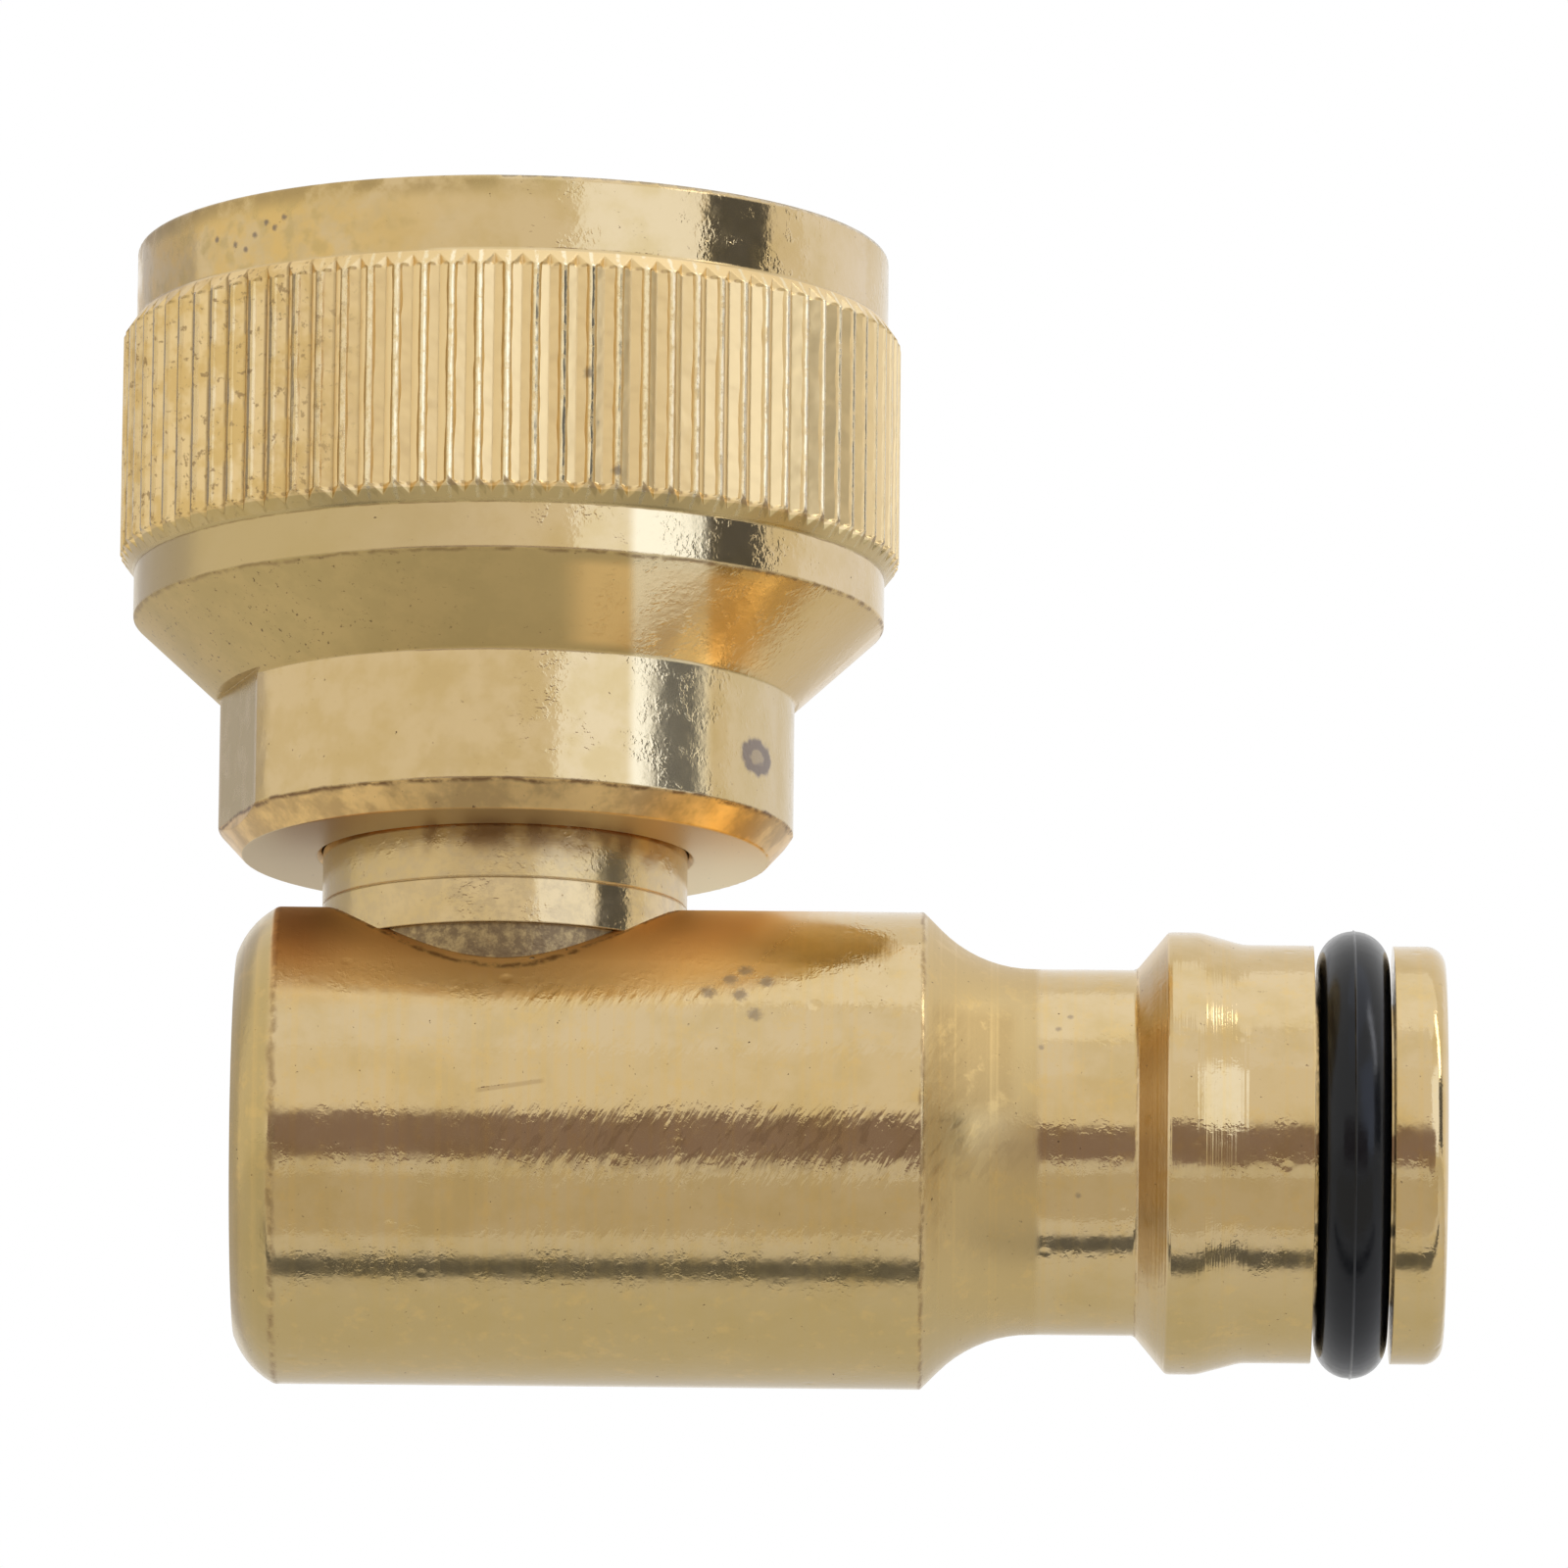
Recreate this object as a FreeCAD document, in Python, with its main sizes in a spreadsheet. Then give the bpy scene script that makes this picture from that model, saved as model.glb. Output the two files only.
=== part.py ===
import FreeCAD, Part
import math
import operator
import os
import Sketcher

# Swivel elbow hose connector in brass, in millimetres.
# The origin is the centre of the cap's open mouth. +Z runs along the swivel axis towards the
# tap, and +X runs along the elbow's outlet. Every depth is measured down from the mouth, and
# every reach is measured along +X from the swivel axis.

SIZES = {
    # the cap that screws onto the tap, outside
    "thread_radius": (13.22, "cap: major radius of the tap thread"),
    "rim_wall": (1.28, "cap: wall of the plain rim around the thread"),
    "rim_edge": (0.2, "cap: rounded edge of the rim"),
    "rim_length": (2.85, "cap: length of the plain rim above the grip"),
    "grip_rise": (0.5, "cap: height of the grip's crests above the rim"),
    "grip_bevel": (0.72, "cap: length of the bevel at each end of the grip"),
    "groove_floor_rise": (0.16, "cap: height of the grip's groove bottoms above the rim"),
    "groove_count": (88, "cap: grooves around the grip"),
    "crest_width": (0.2, "cap: width of the crest between two grooves"),
    "groove_turn": (-87.3, "cap: direction of the first groove, in degrees"),
    "lower_rim_step": (0.05, "cap: how much thinner the band below the grip is than the rim"),
    "lower_rim_length": (1.8, "cap: length of the plain band below the grip"),
    "cone_length": (3.15, "cap: length of the cone"),
    "collar_wall": (3.99, "cap: wall of the collar around the spindle"),
    "collar_length": (6.05, "cap: length of the collar"),
    "foot_bevel": (1.0, "cap: height of the bevel at the collar's lower end"),
    "foot_inset": (0.92, "cap: depth of that bevel into the collar"),
    "flat_cut": (0.37, "cap: depth of each wrench flat into the collar"),
    "flat_ledge": (0.15, "cap: how far the wrench flats reach into the cone"),
    "flat_turn": (16.5, "cap: turn of the wrench flats about the swivel axis, in degrees"),
    "cap_tumbling": (0.15, "cap: radius that tumbling gave the edges of the cone and the foot"),
    # the cap's inside
    "thread_depth": (7.8, "cap: depth of the threaded mouth"),
    "washer_room_step": (1.12, "cap: how much narrower the washer's chamber is than the thread"),
    "washer_room_length": (2.4, "cap: length of the washer's chamber"),
    "flange_room_length": (2.8, "cap: length of the flange's chamber"),
    "floor_wall": (1.45, "cap: metal between the chamber's floor and the start of the cone"),
    "hole_edge": (0.2, "cap: broken edge of the spindle's hole"),
    # washers
    "washer_fit": (0.2, "tap washer: radial room in its chamber"),
    "washer_width": (5.9, "tap washer: width of the ring"),
    "washer_thickness": (2.2, "tap washer: thickness"),
    "washer_edge": (0.2, "tap washer: bevelled edges"),
    "slip_thickness": (0.6, "slip washer: thickness"),
    "slip_width": (2.5, "slip washer: width of the ring"),
    # the spindle and its seals
    "spindle_radius": (7.0, "spindle: shank"),
    "spindle_wall": (3.0, "spindle: wall of the shank around the waterway"),
    "turning_fit": (0.05, "spindle: radial play in the cap"),
    "resting_gap": (0.02, "spindle: play between the faces that turn on each other"),
    "flange_width": (2.8, "spindle: width of the flange beyond the shank"),
    "flange_thickness": (1.8, "spindle: thickness of the flange"),
    "flange_edge": (0.3, "spindle: bevelled edges"),
    "flange_fit": (0.3, "spindle: radial room around the flange"),
    "seal_section": (1.46, "spindle seals: squeezed section, across"),
    "seal_length": (2.0, "spindle seals: squeezed section, along the spindle"),
    "seal_edge": (0.4, "spindle seals: rounding of the section, as bevels"),
    "seal_fit": (0.02, "spindle seals: room kept inside and outside"),
    "seal_groove_room": (0.3, "spindle: how much longer each groove is than its seal"),
    "first_seal_drop": (3.0, "spindle: drop of the upper seal's middle below the cap's floor"),
    "seal_pitch": (4.0, "spindle: distance between the two seals"),
    "mark_drop": (2.0, "spindle: drop of the turned line below the cap"),
    "mark_size": (0.04, "spindle: depth and half the width of the turned line"),
    "shoulder_width": (0.25, "spindle: width of the shoulder above the spigot"),
    "spigot_length": (2.6, "spindle: length of the spigot pressed into the elbow"),
    "seat_fit": (0.02, "spindle: room of the spigot and shoulder in the elbow"),
    # the elbow's body
    "body_gap": (2.1, "elbow: gap between the cap and the top of the body"),
    "seat_sink": (1.65, "elbow: depth of the shoulder's seat below the top of the body"),
    "end_margin": (1.6, "elbow: bar behind the spindle, before the rounded end"),
    "end_length": (1.55, "elbow: length of the rounded end"),
    "end_drop": (1.75, "elbow: drop in radius across the rounded end"),
    "end_round": (3.2, "elbow: radius of the rounded end's curve"),
    "end_crease": (0.4, "elbow: radius that softens the crease before the rounded end"),
    "front_margin": (9.1, "elbow: bar between the spindle and the body's front edge"),
    "front_slope": (0.67, "elbow: height of the straight slope below the front edge"),
    "front_tumbling": (0.15, "elbow: radius that tumbling gave the front edge"),
    # the outlet
    "neck_fillet": (5.0, "outlet: radius of the hollow curve from the slope to the neck"),
    "neck_length": (3.95, "outlet: straight length of the neck"),
    "neck_drop": (1.0, "outlet: how much lower the neck is than the nose"),
    "ridge_height": (0.46, "outlet: height of the locking ridge above the nose"),
    "ridge_rise": (1.22, "outlet: length of the ridge's steep side"),
    "ridge_land": (1.15, "outlet: length of the ridge's top"),
    "ridge_fall": (1.7, "outlet: length of the ridge's gentle side"),
    "ridge_corner": (0.25, "outlet: radius of the corners of the ridge's steep side"),
    "ridge_sweep": (1.5, "outlet: radius of the corners of the ridge's gentle side"),
    "nose_radius": (8.0, "outlet: nose"),
    "nose_length": (2.68, "outlet: straight length of the nose"),
    "ring_side_room": (0.145, "outlet: room on each side of the seal in its groove"),
    "tip_length": (2.0, "outlet: tip in front of the seal groove"),
    "tip_round": (0.75, "outlet: rounded edge of the tip"),
    "outlet_bore_radius": (4.25, "outlet: waterway"),
    "outlet_bore_edge": (0.4, "outlet: bevel at the waterway's mouth"),
    "bore_overrun": (0.5, "outlet: length of the waterway past the spindle's waterway"),
    "drill_half_angle": (59.0, "outlet: half the angle of the drilled end, in degrees"),
    "ring_section_radius": (1.38, "outlet seal: radius of its section"),
    "ring_stand": (0.56, "outlet seal: how far it stands above the nose"),
    "ring_fit": (0.02, "outlet seal: room above the groove's floor"),
    "ring_ridge": (0.05, "outlet seal: height and half the width of the moulding ridge"),
}

doc = FreeCAD.newDocument("SwivelElbow")


class Size:
    """A size known both as a number and as a formula on the sheet."""

    def __init__(self, value, formula):
        self.value = value
        self.formula = formula

    def combined(self, other, action, sign):
        if not isinstance(other, Size):
            other = Size(float(other), repr(float(other)))
        value = action(self.value, other.value)
        return Size(value, f"({self.formula} {sign} {other.formula})")

    def __add__(self, other):
        return self.combined(other, operator.add, "+")

    def __sub__(self, other):
        return self.combined(other, operator.sub, "-")

    def __mul__(self, other):
        return self.combined(other, operator.mul, "*")

    def __truediv__(self, other):
        return self.combined(other, operator.truediv, "/")

    def __neg__(self):
        return self * -1


class SheetSizes:
    """Every driving dimension, by name."""

    def __init__(self, sizes):
        self.sheet = doc.addObject("Spreadsheet::Sheet", "Sizes")
        for row, (name, (value, meaning)) in enumerate(sizes.items(), start=1):
            self.sheet.set(f"A{row}", name)
            self.sheet.set(f"B{row}", str(value))
            self.sheet.set(f"C{row}", meaning)
            self.sheet.setAlias(f"B{row}", name)
            setattr(self, name, Size(float(value), f"Sizes.{name}"))
        doc.recompute()


size = SheetSizes(SIZES)
ZERO = Size(0.0, "0")
SQUARE_SHARE = math.sqrt(0.5)

# An edge this near to a place that was worked out is the edge meant.
SAME_PLACE = 0.001

# How far the groove's cutter reaches, as a share of the groove's depth.
GROOVE_OVERREACH = 1.5

# The cap, from the mouth down. The grip takes what the plain bands leave of its height.
rim_radius = size.thread_radius + size.rim_wall
grip_radius = rim_radius + size.grip_rise
lower_rim_radius = rim_radius - size.lower_rim_step
hole_radius = size.spindle_radius + size.turning_fit
collar_radius = hole_radius + size.collar_wall
washer_seat_depth = size.thread_depth + size.washer_room_length
cap_floor_depth = washer_seat_depth + size.flange_room_length
cone_top = cap_floor_depth + size.floor_wall
grip_bottom = cone_top - size.lower_rim_length
collar_top = cone_top + size.cone_length
cap_depth = collar_top + size.collar_length
washer_room_radius = size.thread_radius - size.washer_room_step

# The spindle
flange_radius = size.spindle_radius + size.flange_width
flange_underside = -cap_floor_depth + size.slip_thickness + size.resting_gap
waterway_radius = size.spindle_radius - size.spindle_wall
spigot_radius = size.spindle_radius - size.shoulder_width
seal_outer_radius = hole_radius - size.seal_fit
seal_inner_radius = seal_outer_radius - size.seal_section
seal_depths = [
    cap_floor_depth + size.first_seal_drop,
    cap_floor_depth + size.first_seal_drop + size.seal_pitch,
]
shoulder_depth = cap_depth + size.body_gap + size.seat_sink

# The elbow and its outlet
neck_radius = size.nose_radius - size.neck_drop
fillet_run = size.neck_fillet * SQUARE_SHARE
fillet_drop = size.neck_fillet * (1 - SQUARE_SHARE)
body_radius = neck_radius + fillet_drop + size.front_slope
elbow_depth = cap_depth + size.body_gap + body_radius
body_start = -size.spindle_radius - size.end_margin
body_front = size.spindle_radius + size.front_margin
fillet_start = body_front + size.front_slope
ridge_start = fillet_start + fillet_run + size.neck_length
ridge_top = ridge_start + size.ridge_rise
ridge_end = ridge_top + size.ridge_land
nose_start = ridge_end + size.ridge_fall
ring_groove_start = nose_start + size.nose_length
ring_middle = ring_groove_start + size.ring_side_room + size.ring_section_radius
ring_groove_end = ring_middle + size.ring_section_radius + size.ring_side_room
tip_reach = ring_groove_end + size.tip_length
ring_outer_radius = size.nose_radius + size.ring_stand
ring_centre_radius = ring_outer_radius - size.ring_section_radius
ring_floor_radius = ring_centre_radius - size.ring_section_radius - size.ring_fit


def new_body(name):
    body = doc.addObject("PartDesign::Body", name)
    body.Label = name
    return body


def new_sketch(body, name, role, rise=None, turn=None):
    """A sketch on one of the body's own planes, raised and turned by sizes where given."""
    plane = next(item for item in body.Origin.OriginFeatures if item.Role == role)
    sketch = body.newObject("Sketcher::SketchObject", name)
    sketch.AttachmentSupport = [(plane, "")]
    sketch.MapMode = "FlatFace"
    if rise is not None:
        along = "y" if role == "XZ_Plane" else "z"
        sketch.setExpression(f"AttachmentOffset.Base.{along}", rise.formula)
    if turn is not None:
        sketch.setExpression("AttachmentOffset.Rotation.Angle", turn.formula)
    return sketch


def pin_point(sketch, edge, end, place):
    """Ties a point of the sketch to its two sizes."""
    for direction, distance in zip(("DistanceX", "DistanceY"), place):
        tie = Sketcher.Constraint(direction, -1, 1, edge, end, distance.value)
        index = sketch.addConstraint(tie)
        sketch.setExpression(f"Constraints[{index}]", distance.formula)


def arc_between(start, end, radius):
    """The short arc from start to end. A positive radius turns left, a negative one right."""
    chord = end - start
    middle = (start + end) * 0.5
    height = math.sqrt(radius * radius - chord.Length**2 / 4)
    left = FreeCAD.Vector(-chord.y, chord.x, 0).normalize()
    centre = middle + left * math.copysign(height, radius)
    if radius < 0:
        start, end = end, start
    angles = [math.atan2(point.y - centre.y, point.x - centre.x) for point in (start, end)]
    circle = Part.Circle(centre, FreeCAD.Vector(0, 0, 1), abs(radius))
    return Part.ArcOfCircle(circle, *angles)


def draw_outline(sketch, corners):
    """A closed outline. A corner is (x, y), or (x, y, radius) where an arc leaves it."""
    points = [FreeCAD.Vector(corner[0].value, corner[1].value, 0) for corner in corners]
    ends = []
    for place, corner in enumerate(corners):
        start = points[place]
        end = points[(place + 1) % len(points)]
        if len(corner) == 2:
            edge = sketch.addGeometry(Part.LineSegment(start, end))
            ends.append((edge, 1, 2))
            continue
        bend = corner[2]
        edge = sketch.addGeometry(arc_between(start, end, bend.value))
        ends.append((edge, 1, 2) if bend.value > 0 else (edge, 2, 1))
        index = sketch.addConstraint(Sketcher.Constraint("Radius", edge, abs(bend.value)))
        radius = bend if bend.value > 0 else -bend
        sketch.setExpression(f"Constraints[{index}]", radius.formula)
    for place, (edge, first, last) in enumerate(ends):
        next_edge, next_first, _ = ends[(place + 1) % len(ends)]
        sketch.addConstraint(Sketcher.Constraint("Coincident", edge, last, next_edge, next_first))
        pin_point(sketch, edge, first, corners[place][:2])


def draw_circle(sketch, radius):
    circle = Part.Circle(FreeCAD.Vector(0, 0, 0), FreeCAD.Vector(0, 0, 1), radius.value)
    edge = sketch.addGeometry(circle)
    sketch.addConstraint(Sketcher.Constraint("Coincident", edge, 3, -1, 1))
    index = sketch.addConstraint(Sketcher.Constraint("Radius", edge, radius.value))
    sketch.setExpression(f"Constraints[{index}]", radius.formula)


def turn_on_swivel_axis(body, name, corners):
    """A full turn about the swivel axis. Corners are (radius, height)."""
    sketch = new_sketch(body, f"{name}_section", "XZ_Plane")
    draw_outline(sketch, corners)
    turned = body.newObject("PartDesign::Revolution", name)
    turned.Profile = sketch
    turned.ReferenceAxis = (sketch, ["V_Axis"])
    turned.Angle = 360
    return turned


def turn_on_outlet_axis(body, name, corners):
    """A full turn about the outlet's axis. Corners are (reach, radius)."""
    sketch = new_sketch(body, f"{name}_section", "XZ_Plane", rise=-elbow_depth)
    draw_outline(sketch, corners)
    turned = body.newObject("PartDesign::Revolution", name)
    turned.Profile = sketch
    turned.ReferenceAxis = (sketch, ["H_Axis"])
    turned.Angle = 360
    return turned


def round_edges(body, name, radius, axis, circles):
    """Rounds turned edges of the body. Each is given by its place along the axis and its radius."""
    doc.recompute()
    base = body.Tip
    edges = []
    for place, reach in circles:
        for index, edge in enumerate(base.Shape.Edges, start=1):
            if not isinstance(edge.Curve, Part.Circle):
                continue
            along = edge.Curve.Center.z if axis == "swivel" else edge.Curve.Center.x
            if math.hypot(along - place.value, edge.Curve.Radius - reach.value) < SAME_PLACE:
                edges.append(f"Edge{index}")
    if len(edges) != len(circles):
        raise RuntimeError(f"{name} found {len(edges)} of {len(circles)} edges")
    fillet = body.newObject("PartDesign::Fillet", name)
    fillet.Base = (base, edges)
    fillet.setExpression("Radius", radius.formula)
    body.Tip = fillet


def cut_down(body, sketch, name, depth):
    """A pocket that goes down from its sketch. It has to take some of the solid away."""
    doc.recompute()
    before = body.Shape.Volume
    pocket = body.newObject("PartDesign::Pocket", name)
    pocket.Profile = sketch
    pocket.setExpression("Length", depth.formula)
    doc.recompute()
    if pocket.Shape.Volume >= before:
        raise RuntimeError(f"{name} cuts nothing")
    return pocket


def build_cap():
    body = new_body("swivel_cap")
    corners = [
        (size.thread_radius, ZERO),
        (rim_radius - size.rim_edge, ZERO, -size.rim_edge),
        (rim_radius, -size.rim_edge),
        (rim_radius, -size.rim_length),
        (grip_radius, -size.rim_length - size.grip_bevel),
        (grip_radius, -grip_bottom + size.grip_bevel),
        (lower_rim_radius, -grip_bottom),
        (lower_rim_radius, -cone_top),
        (collar_radius, -collar_top),
        (collar_radius, -cap_depth + size.foot_bevel),
        (collar_radius - size.foot_inset, -cap_depth),
        (hole_radius + size.hole_edge, -cap_depth),
        (hole_radius, -cap_depth + size.hole_edge),
        (hole_radius, -cap_floor_depth),
        (flange_radius + size.flange_fit, -cap_floor_depth),
        (flange_radius + size.flange_fit, -washer_seat_depth),
        (washer_room_radius, -washer_seat_depth),
        (washer_room_radius, -size.thread_depth),
        (size.thread_radius, -size.thread_depth),
    ]
    turn_on_swivel_axis(body, "cap_turned", corners)
    tumbled = [
        (-cone_top, lower_rim_radius),
        (-collar_top, collar_radius),
        (-cap_depth + size.foot_bevel, collar_radius),
        (-cap_depth, collar_radius - size.foot_inset),
    ]
    round_edges(body, "tumbled_edges", size.cap_tumbling, "swivel", tumbled)
    cut_grip(body)
    mill_wrench_flats(body)
    return body


def cut_grip(body):
    """V grooves all round the grip. Their bottoms stay above both rims, so they run out on the bevels."""
    bottom_radius = rim_radius + size.groove_floor_rise
    depth = grip_radius - bottom_radius
    pitch = grip_radius * (2 * math.pi) / size.groove_count
    slope = (pitch - size.crest_width) / depth / 2
    reach = depth * GROOVE_OVERREACH
    groove = [
        (bottom_radius, ZERO),
        (bottom_radius + reach, -slope * reach),
        (bottom_radius + reach, slope * reach),
    ]
    sketch = new_sketch(body, "grip_groove_section", "XY_Plane", turn=size.groove_turn)
    draw_outline(sketch, groove)
    pocket = cut_down(body, sketch, "grip_groove", cone_top)
    pattern = body.newObject("PartDesign::PolarPattern", "grip_grooves")
    pattern.Originals = [pocket]
    pattern.Axis = (sketch, ["N_Axis"])
    pattern.Angle = 360
    pattern.setExpression("Occurrences", size.groove_count.formula)
    body.Tip = pattern


def mill_wrench_flats(body):
    """Two opposite flats on the collar, milled up to a small ledge in the cone."""
    start = collar_top - size.flat_ledge
    sketch = new_sketch(body, "flats_section", "XY_Plane", rise=-start, turn=size.flat_turn)
    for side in (1, -1):
        inner = (collar_radius - size.flat_cut) * side
        outer = rim_radius * side
        corners = [
            (inner, -collar_radius),
            (outer, -collar_radius),
            (outer, collar_radius),
            (inner, collar_radius),
        ]
        draw_outline(sketch, corners)
    body.Tip = cut_down(body, sketch, "wrench_flats", cap_depth - start)


def build_ring(name, inner, outer, bottom, top, edge):
    """A ring about the swivel axis with all its edges bevelled."""
    body = new_body(name)
    corners = [
        (inner + edge, bottom),
        (outer - edge, bottom),
        (outer, bottom + edge),
        (outer, top - edge),
        (outer - edge, top),
        (inner + edge, top),
        (inner, top - edge),
        (inner, bottom + edge),
    ]
    turn_on_swivel_axis(body, f"{name}_turned", corners)
    return body


def build_tap_washer():
    outer = washer_room_radius - size.washer_fit
    inner = outer - size.washer_width
    top = -washer_seat_depth + size.washer_thickness
    return build_ring("tap_washer", inner, outer, -washer_seat_depth, top, size.washer_edge)


def build_slip_washer():
    body = new_body("slip_washer")
    inner = hole_radius + size.hole_edge
    outer = inner + size.slip_width
    bottom = -cap_floor_depth
    top = bottom + size.slip_thickness
    corners = [(inner, bottom), (outer, bottom), (outer, top), (inner, top)]
    turn_on_swivel_axis(body, "slip_washer_turned", corners)
    return body


def build_spindle_seal(name, depth):
    """A rubber ring in its squeezed shape, between its groove and the cap's hole."""
    half_length = size.seal_length / 2
    return build_ring(
        name,
        seal_inner_radius,
        seal_outer_radius,
        -depth - half_length,
        -depth + half_length,
        size.seal_edge,
    )


def build_spindle():
    body = new_body("swivel_spindle")
    top = flange_underside + size.flange_thickness
    edge = size.flange_edge
    shank = size.spindle_radius
    mark_depth = cap_depth + size.mark_drop
    spigot_end = -shoulder_depth - size.spigot_length
    corners = [
        (waterway_radius + edge, top),
        (flange_radius - edge, top),
        (flange_radius, top - edge),
        (flange_radius, flange_underside),
        (shank, flange_underside),
    ]
    floor = seal_inner_radius - size.seal_fit
    half_groove = (size.seal_length + size.seal_groove_room) / 2
    for depth in seal_depths:
        corners += [
            (shank, -depth + half_groove),
            (floor, -depth + half_groove),
            (floor, -depth - half_groove),
            (shank, -depth - half_groove),
        ]
    corners += [
        (shank, -mark_depth + size.mark_size),
        (shank - size.mark_size, -mark_depth),
        (shank, -mark_depth - size.mark_size),
        (shank, -shoulder_depth),
        (spigot_radius, -shoulder_depth),
        (spigot_radius, spigot_end),
        (waterway_radius, spigot_end),
        (waterway_radius, top - edge),
    ]
    turn_on_swivel_axis(body, "spindle_turned", corners)
    return body


def build_elbow():
    body = new_body("elbow_body")
    end_face = body_start - size.end_length
    ridge_radius = size.nose_radius + size.ridge_height
    bore_end = -waterway_radius - size.bore_overrun
    drill_tip = size.outlet_bore_radius / math.tan(math.radians(size.drill_half_angle.value))
    corners = [
        (bore_end - drill_tip, ZERO),
        (bore_end, size.outlet_bore_radius),
        (tip_reach - size.outlet_bore_edge, size.outlet_bore_radius),
        (tip_reach, size.outlet_bore_radius + size.outlet_bore_edge),
        (tip_reach, size.nose_radius - size.tip_round, size.tip_round),
        (tip_reach - size.tip_round, size.nose_radius),
        (ring_groove_end, size.nose_radius),
        (ring_groove_end, ring_floor_radius),
        (ring_groove_start, ring_floor_radius),
        (ring_groove_start, size.nose_radius),
        (nose_start, size.nose_radius),
        (ridge_end, ridge_radius),
        (ridge_top, ridge_radius),
        (ridge_start, neck_radius),
        (fillet_start + fillet_run, neck_radius, -size.neck_fillet),
        (fillet_start, neck_radius + fillet_drop),
        (body_front, body_radius),
        (body_start, body_radius, size.end_round),
        (end_face, body_radius - size.end_drop),
        (end_face, ZERO),
    ]
    turn_on_outlet_axis(body, "elbow_turned", corners)

    roundings = (
        ("end_crease", size.end_crease, [(body_start, body_radius)]),
        ("front_edge", size.front_tumbling, [(body_front, body_radius)]),
        ("ridge_back", size.ridge_corner, [(ridge_start, neck_radius), (ridge_top, ridge_radius)]),
        ("ridge_front", size.ridge_sweep, [(ridge_end, ridge_radius), (nose_start, size.nose_radius)]),
    )
    for name, radius, circles in roundings:
        round_edges(body, name, radius, "outlet", circles)

    # The shoulder's seat, the spigot's hole and the waterway go down into the bar from above.
    steps = (
        ("shoulder_seat", size.spindle_radius + size.seat_fit, shoulder_depth),
        ("spigot_hole", spigot_radius + size.seat_fit, shoulder_depth + size.spigot_length),
        ("waterway", waterway_radius, elbow_depth),
    )
    for name, radius, depth in steps:
        sketch = new_sketch(body, f"{name}_section", "XY_Plane")
        draw_circle(sketch, radius)
        body.Tip = cut_down(body, sketch, name, depth)
    return body


def build_outlet_ring():
    """A round rubber ring with a fine moulding ridge all round its outside."""
    body = new_body("nipple_o_ring")
    bend = size.ring_section_radius
    half_ridge = size.ring_ridge
    ridge_foot = ring_outer_radius - half_ridge * half_ridge / bend / 2
    corners = [
        (ring_middle - half_ridge, ridge_foot, bend),
        (ring_middle - bend, ring_centre_radius, bend),
        (ring_middle, ring_centre_radius - bend, bend),
        (ring_middle + bend, ring_centre_radius, bend),
        (ring_middle + half_ridge, ridge_foot),
        (ring_middle, ring_outer_radius + size.ring_ridge),
    ]
    turn_on_outlet_axis(body, "nipple_o_ring_turned", corners)
    return body


def checked(parts):
    """Refuses any feature that failed and any piece that isn't one valid solid."""
    for item in doc.Objects:
        if "Invalid" in item.State or "Error" in item.State:
            raise RuntimeError(f"{item.Label} failed: {item.State}")
    for part in parts:
        shape = part.Shape
        if shape.isNull() or not shape.isValid() or len(shape.Solids) != 1:
            raise RuntimeError(f"{part.Label} is not one valid solid")
    return parts


pieces = [
    build_cap(),
    build_tap_washer(),
    build_slip_washer(),
    build_spindle(),
    build_spindle_seal("upper_spindle_seal", seal_depths[0]),
    build_spindle_seal("lower_spindle_seal", seal_depths[1]),
    build_elbow(),
    build_outlet_ring(),
]
doc.recompute()

os.makedirs("parts", exist_ok=True)
for piece in checked(pieces):
    piece.Shape.exportStep(f"parts/{piece.Label}.step")
    print(piece.Label, round(piece.Shape.Volume, 2), piece.Shape.BoundBox)
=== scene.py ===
"""Looks of the swivel elbow hose connector, around its CAD frame.

The frame is in metres: +Z towards the tap, +X out of the outlet, and the camera on the -Y side.
Sizes and places in this file are millimetres, and place() turns them into metres.
"""

import math
import random

import bmesh
import bpy
from mathutils import Matrix, Vector


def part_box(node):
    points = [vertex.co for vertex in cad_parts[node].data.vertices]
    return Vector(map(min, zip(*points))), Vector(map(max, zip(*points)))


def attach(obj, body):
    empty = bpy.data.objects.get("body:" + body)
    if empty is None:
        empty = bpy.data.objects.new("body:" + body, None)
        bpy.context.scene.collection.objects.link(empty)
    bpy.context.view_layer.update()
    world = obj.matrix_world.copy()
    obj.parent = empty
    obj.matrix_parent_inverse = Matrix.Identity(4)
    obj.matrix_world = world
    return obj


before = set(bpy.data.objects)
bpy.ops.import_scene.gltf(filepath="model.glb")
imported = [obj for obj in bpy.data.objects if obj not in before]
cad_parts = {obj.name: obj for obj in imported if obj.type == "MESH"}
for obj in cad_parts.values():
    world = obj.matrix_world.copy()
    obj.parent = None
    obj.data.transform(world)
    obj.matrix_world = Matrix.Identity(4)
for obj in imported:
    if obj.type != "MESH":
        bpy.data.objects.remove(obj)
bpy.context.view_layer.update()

MM = 0.001

# The camera stands where the photograph's did, a little below the object, and looks up at it.
CAMERA_PLACE = (16.82, -689.81, -155.45)
CAMERA_PAN = -0.511
CAMERA_TILT = 11.059
CAMERA_ROLL = 0.619
CAMERA_LENS = 419.93
CAMERA_REACH = 20000
SENSOR_WIDTH = 36

# Places along the swivel axis.
elbow_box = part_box("elbow_body")
OUTLET_HEIGHT = (elbow_box[0].z + elbow_box[1].z) / 2 / MM
RIM_END = -2.85
GRIP_END = -12.65
LOWER_RIM_END = -14.45
CONE_END = -17.6
COLLAR_END = -22.65
FOOT = -23.65
SPINDLE_MARK = -25.65
SPINDLE_SHOULDER = -27.4

# Inside this radius the collar's wall is one of its milled flats.
FLAT_RADIUS = 10.98

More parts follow.
